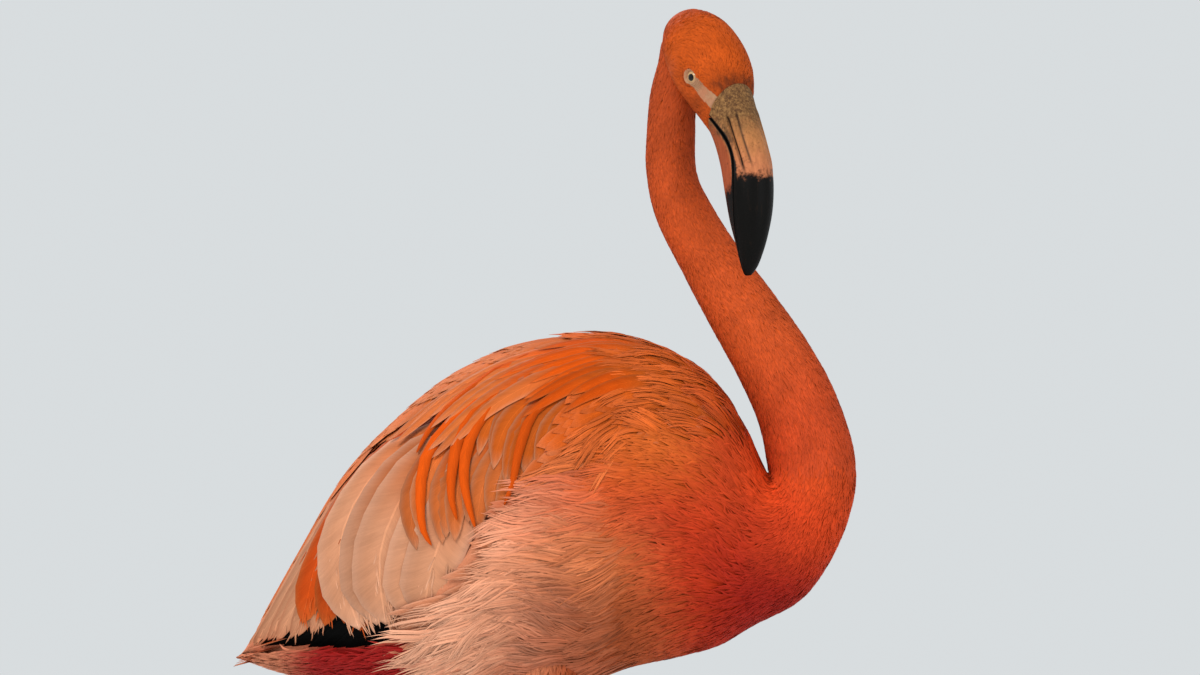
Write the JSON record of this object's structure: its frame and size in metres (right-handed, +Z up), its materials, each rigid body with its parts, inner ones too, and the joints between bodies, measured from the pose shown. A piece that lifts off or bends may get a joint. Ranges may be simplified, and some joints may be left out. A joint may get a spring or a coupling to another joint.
{
  "type": "flamingo",
  "caption": "Life-size standing American flamingo with folded wings, a loosely curved neck and its head turned to its right.",
  "frame": {"origin": "on the floor under the middle of the bird's bounding box", "axes": "+X the way the body faces, +Y the bird's left, +Z up"},
  "size_m": [0.446, 0.1956, 1.0843],
  "materials": {
    "plumage": "orange-red feathers",
    "pale_plumage": "pale pink and orange feathers",
    "quill": "black flight feathers",
    "horn": "satin horn, pinkish tan with a black tip",
    "eye": "wet, pale yellow iris",
    "leg_skin": "pink scaled skin"
  },
  "bodies": {
    "root": {"head": "plumage", "bill_upper": "horn", "bill_lower": "horn", "right_eye": "eye", "left_eye": "eye", "neck_upper": "plumage", "neck_middle": "plumage", "neck_lower": "plumage", "neck_base": "plumage", "trunk": "plumage", "tail": "plumage", "right_wing": "pale_plumage", "left_wing": "pale_plumage", "right_quills": "quill", "left_quills": "quill", "right_thigh": "plumage", "right_tibia": "leg_skin", "right_ankle": "leg_skin", "right_tarsus": "leg_skin", "right_foot": "leg_skin", "left_thigh": "plumage", "left_tibia": "leg_skin", "left_ankle": "leg_skin", "left_tarsus": "leg_skin", "left_foot": "leg_skin"}
  },
  "joints": []
}
